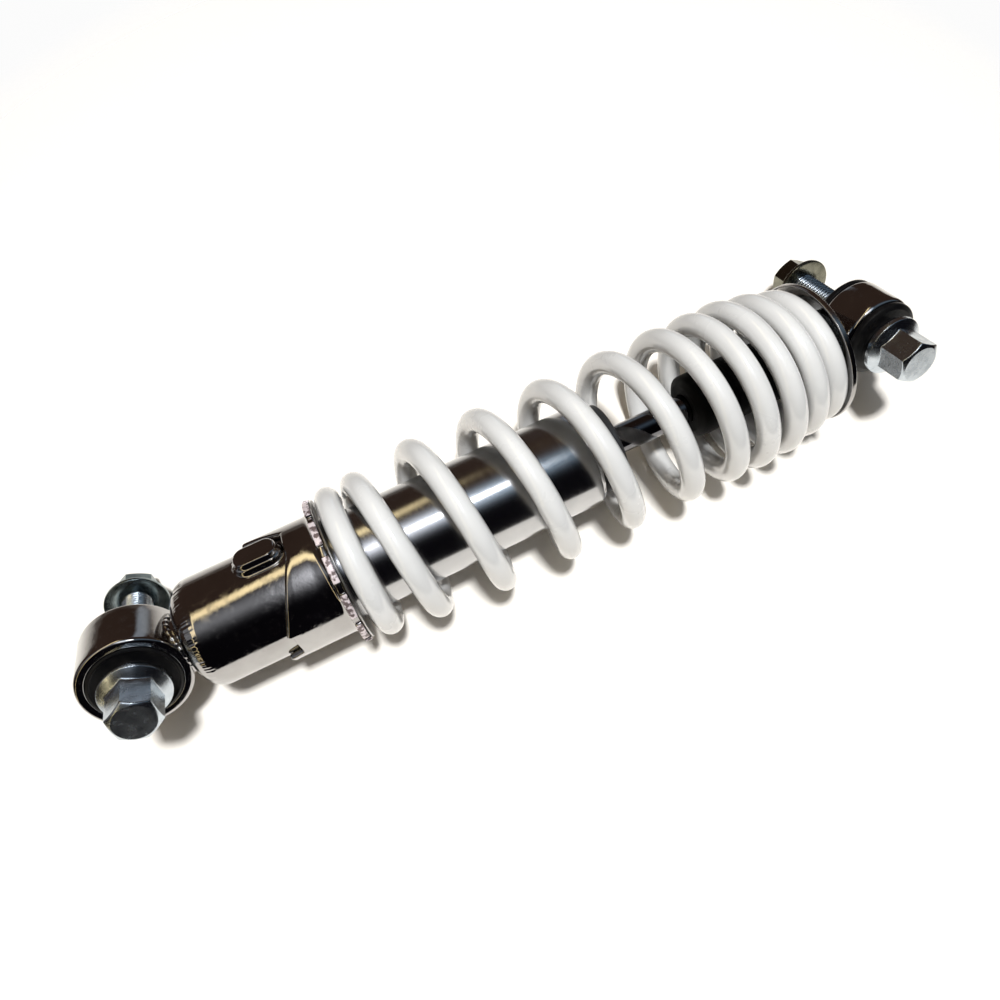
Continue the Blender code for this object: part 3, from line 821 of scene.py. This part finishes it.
def coil_line(turns):
    """Points of the wire's centre line at those turns."""
    fine = np.linspace(*SPRING_TURNS, 4001)
    steps = (pitch_at(fine[1:]) + pitch_at(fine[:-1])) / 2 * np.diff(fine)
    x = SPRING_START + np.interp(turns, fine, np.concatenate(([0.0], np.cumsum(steps))))
    r = 25.7 - 3.5 * (1.0 - smooth(turns / 2.0)) - 5.5 * smooth((turns - 7.4) / 3.4)
    a = math.pi + TAU * turns
    return np.stack((x, r * np.cos(a), r * np.sin(a)), axis=1)


def wire(name, first, last, share):
    """A length of the spring; share gives each turn's share of the travel, which is worked out but not
    used.
    """
    turns = np.linspace(first, last, round((last - first) * 72) + 1)
    centre = coil_line(turns)
    tangent = coil_line(turns + 0.001) - coil_line(turns - 0.001)
    tangent /= np.linalg.norm(tangent, axis=1)[:, None]
    radial = centre * (0.0, 1.0, 1.0)
    radial /= np.linalg.norm(radial, axis=1)[:, None]
    across = np.cross(tangent, radial)
    across /= np.linalg.norm(across, axis=1)[:, None]
    outward = np.cross(across, tangent)
    section = circle(28)

    def ring(i, size, shift=0.0):
        middle = centre[i] + tangent[i] * shift
        spokes = np.outer(np.cos(section), outward[i]) + np.outer(np.sin(section), across[i])
        made = middle + size * spokes
        made[:, 0] = np.minimum(made[:, 0], GROUND_X)
        return made

    rings = [ring(i, WIRE_R) for i in range(len(turns))]
    follow = list(share(turns))
    rounding = [(1.2 * math.sin(a), WIRE_R - 1.2 * (1.0 - math.cos(a)))
                for a in np.radians((22.5, 45.0, 67.5, 90.0))]
    if first == SPRING_TURNS[0]:
        rings = [ring(0, size, -shift) for shift, size in rounding[::-1]] + rings
        follow = [follow[0]] * len(rounding) + follow
    if last == SPRING_TURNS[1]:
        rings += [ring(-1, size, shift) for shift, size in rounding]
        follow += [follow[-1]] * len(rounding)
    obj = skin(name, rings[::-1], POWDER, sharp=60)
    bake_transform(obj)
    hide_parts("coil_spring")
    return obj


def evenly(low, high, travel):
    """Share of a travel taken up by each turn, as far as its own gap allows."""
    fine = np.linspace(low, high, 1001)
    gap = np.maximum(pitch_at(fine) - 2 * WIRE_R, 0.0)
    per_turn = 0.0
    while np.sum(np.minimum(gap, per_turn)) / 1000 * (high - low) < travel and per_turn < 20.0:
        per_turn += 0.02
    total = np.cumsum(np.minimum(gap, per_turn))
    return lambda turns: np.interp(turns, fine, (total - total[0]) / (total[-1] - total[0]))


rod_travel = JOINTS["rod_slide"]["range_m"][1] / MM
preload_travel = JOINTS["preload_shift"]["range_m"][1] / MM
wire("spring_lower_turns", SPRING_TURNS[0], SPLIT_TURN,
     evenly(0.0, SPLIT_TURN, preload_travel))
wire("spring_upper_turns", SPLIT_TURN, SPRING_TURNS[1],
     evenly(SPLIT_TURN, SPRING_TURNS[1] - 0.4, rod_travel))

# Inner pieces keep their CAD shape -------------------------------------------------------
INNER = {"base_plug": STEEL, "inner_cylinder": STEEL, "valve_shims": STEEL, "base_valve": BRONZE,
         "rod_guide": BRONZE, "piston": BRONZE, "piston_nut": ZINC, "piston_ring": BAND,
         "oil_seal": BUSH_RUBBER, "rebound_bumper": BUSH_RUBBER}
for name, mat in INNER.items():
    node = frame["nodes"][name]
    node.data.materials.clear()
    node.data.materials.append(mat)

# Floor, light and camera -----------------------------------------------------------------
TABLE_NORMAL = Vector((0.0, -0.611, 0.791)).normalized()
TABLE_DEPTH = 29.8             # from the shock's axis down to the table
TABLE_R = 0.32                 # metres
CENTRE = Vector((135.0, 0.0, 0.0)) * MM


def floor():
    """A pale table that is only there from above, fading out well away from the shock.

    What the chrome mirrors of it fades out sooner, behind the shock.
    """
    mesh = bpy.data.meshes.new("table")
    ring = [(TABLE_R * math.cos(a), TABLE_R * math.sin(a), 0.0) for a in circle(96)]
    mesh.from_pydata(ring, [], [list(range(96))])
    obj = bpy.data.objects.new("table", mesh)
    bpy.context.scene.collection.objects.link(obj)
    obj.location = CENTRE - TABLE_NORMAL * TABLE_DEPTH * MM
    obj.rotation_mode = "QUATERNION"
    obj.rotation_quaternion = TABLE_NORMAL.to_track_quat("Z", "Y")
    m = Nodes("table_white")
    m.set(Base_Color=(0.87, 0.83, 0.775), Roughness=0.9)
    clear = m.node("ShaderNodeBsdfTransparent")
    geometry = m.node("ShaderNodeNewGeometry")
    beyond = m.node("ShaderNodeVectorMath", operation="DOT_PRODUCT")
    m.link(geometry.outputs["Position"], beyond.inputs[0])
    beyond.inputs[1].default_value = (0.0, 0.791, 0.611)
    far = m.spread(beyond.outputs["Value"], 0.045, 0.15, 0.0, 0.93)
    seen = m.node("ShaderNodeLightPath").outputs["Is Camera Ray"]
    hidden = m.math("MULTIPLY", far, m.math("SUBTRACT", 1.0, seen))
    radius = m.node("ShaderNodeVectorMath", operation="LENGTH")
    m.link(m.coords, radius.inputs[0])
    rim = m.spread(radius.outputs["Value"], 0.24, 0.315, 0.0, 1.0)
    gone = m.math("MAXIMUM", m.math("MAXIMUM", geometry.outputs["Backfacing"], hidden), rim)
    mixed = m.node("ShaderNodeMixShader")
    m.link(gone, mixed.inputs[0])
    m.link(m.shader.outputs[0], mixed.inputs[1])
    m.link(clear.outputs[0], mixed.inputs[2])
    m.link(mixed.outputs[0], m.tree.nodes["Material Output"].inputs["Surface"])
    mesh.materials.append(m.material)


def area(name, direction, distance, size, power, color, gloss=True, diffuse=True):
    """A light that faces the shock's middle from the given direction."""
    light = bpy.data.lights.new(name, "AREA")
    light.shape = "RECTANGLE"
    light.size, light.size_y = size
    light.energy = power
    light.color = color
    obj = bpy.data.objects.new(name, light)
    bpy.context.scene.collection.objects.link(obj)
    away = Vector(direction).normalized()
    x_axis = (Vector((1, 0, 0)) - away * away.x).normalized()
    y_axis = away.cross(x_axis)
    basis = Matrix((x_axis, y_axis, away)).transposed()
    obj.matrix_world = Matrix.Translation(CENTRE + away * distance) @ basis.to_4x4()
    obj.visible_glossy = gloss
    obj.visible_diffuse = diffuse
    obj.visible_camera = False
    return obj


def world():
    """The room that the chrome mirrors; plain white where the camera looks past the table.

    A place in the room is given by its angle about the shock (from +Y toward +Z, in
    degrees) and its lean along it (x over the distance from the shock's axis).
    """
    m = Nodes("studio", "worlds", "Background", "Generated")
    x, y, z = m.parts(m.coords)
    turn = m.math("FLOORED_MODULO", m.math("DEGREES", m.math("ARCTAN2", z, y)), 360.0)
    lean = m.math("DIVIDE", x, m.math("SQRT", m.math("SUBTRACT", 1.0, m.math("MULTIPLY", x, x))))

    # Brown behind the shock and below it, nearly black on the camera's side.
    front = m.spread(turn, 104.0, 122.0, 0.0, 1.0)
    unlit = m.math("SUBTRACT", front, m.spread(turn, 240.0, 260.0, 0.0, 1.0))
    room = m.mix(unlit, (0.050, 0.031, 0.023), (0.004, 0.0035, 0.005))

    # A golden bar of light, which slants across the room and fades towards the upper eye.
    line = m.math("ADD", m.math("MULTIPLY", lean, 84.0), turn)
    off = m.math("ABSOLUTE", m.math("SUBTRACT", line, 88.0))
    bar = m.math("ADD", m.spread(off, 3.5, 6.0, 0.5, 0.0), m.spread(off, 7.0, 9.0, 0.5, 0.0))
    gold = m.math("MULTIPLY", bar, m.spread(lean, 0.0, 0.10, 1.0, 0.0))
    room = m.mix(gold, room, (2.2, 1.78, 1.0))

    # A soft sheet of light overhead, bluer towards the upper eye.
    off = m.math("DIVIDE", m.math("SUBTRACT", turn, 131.0), 16.0)
    soft = m.math("EXPONENT", m.math("MULTIPLY", m.math("MULTIPLY", off, off), -1.0))
    rise = m.spread(lean, -0.16, -0.02, 0.15, 1.0)
    fall = m.spread(lean, 0.05, 0.24, 1.0, 0.10)
    sheet = m.math("MULTIPLY", m.math("MULTIPLY", soft, rise), fall)
    tint = m.mix(m.spread(lean, 0.05, 0.16, 0.0, 1.0), (2.2, 2.25, 2.4), (1.5, 2.05, 2.6))

    # A dim pane behind the shock, towards the upper eye.
    pane = m.math("MULTIPLY", m.spread(lean, 0.26, 0.34, 0.0, 1.0), m.spread(lean, 0.50, 0.62, 1.0, 0.0))
    pane = m.math("MULTIPLY", pane, m.spread(turn, 18.0, 28.0, 0.0, 1.0))
    pane = m.math("MULTIPLY", pane, m.spread(turn, 46.0, 58.0, 1.0, 0.0))
    m.link(m.mix(pane, m.mix(sheet, room, tint), (0.36, 0.40, 0.45)), m.shader.inputs["Color"])

    white = m.node("ShaderNodeBackground")
    white.inputs["Color"].default_value = (0.97, 0.97, 0.97, 1.0)
    mix = m.node("ShaderNodeMixShader")
    m.link(m.node("ShaderNodeLightPath").outputs["Is Camera Ray"], mix.inputs[0])
    m.link(m.shader.outputs[0], mix.inputs[1])
    m.link(white.outputs[0], mix.inputs[2])
    m.link(mix.outputs[0], m.tree.nodes["World Output"].inputs["Surface"])
    bpy.context.scene.world = m.material


def camera():
    """The photograph's viewing angle and framing."""
    data = bpy.data.cameras.new("camera")
    data.sensor_width = 36.0
    data.lens = 28.675
    data.clip_start = 0.01
    obj = bpy.data.objects.new("camera", data)
    bpy.context.scene.collection.objects.link(obj)
    right = Vector((0.89632, -0.35112, -0.27080))
    down = Vector((-0.41925, -0.47219, -0.77541))
    forward = Vector((0.14439, 0.80855, -0.57044))
    basis = Matrix((right, -down, -forward)).transposed()
    obj.matrix_world = Matrix.Translation(Vector((86.589, -214.494, 149.369)) * MM) @ basis.to_4x4()
    bpy.context.scene.camera = obj


floor()
world()
camera()
area("overhead_key", (0.0, -0.662, 0.751), 1.4, (0.13, 0.13), 25.0, (0.99, 1.0, 1.0), gloss=False)
area("soft_fill", TABLE_NORMAL, 1.2, (1.6, 1.6), 0.1, (1.0, 0.88, 0.78), gloss=False)
area("catch_light", (0.05, -0.656, 0.755), 0.7, (0.12, 0.12), 0.42, (1.0, 1.0, 1.0), diffuse=False)

scene = bpy.context.scene
scene.view_settings.view_transform = "Standard"
scene.view_settings.look = "None"
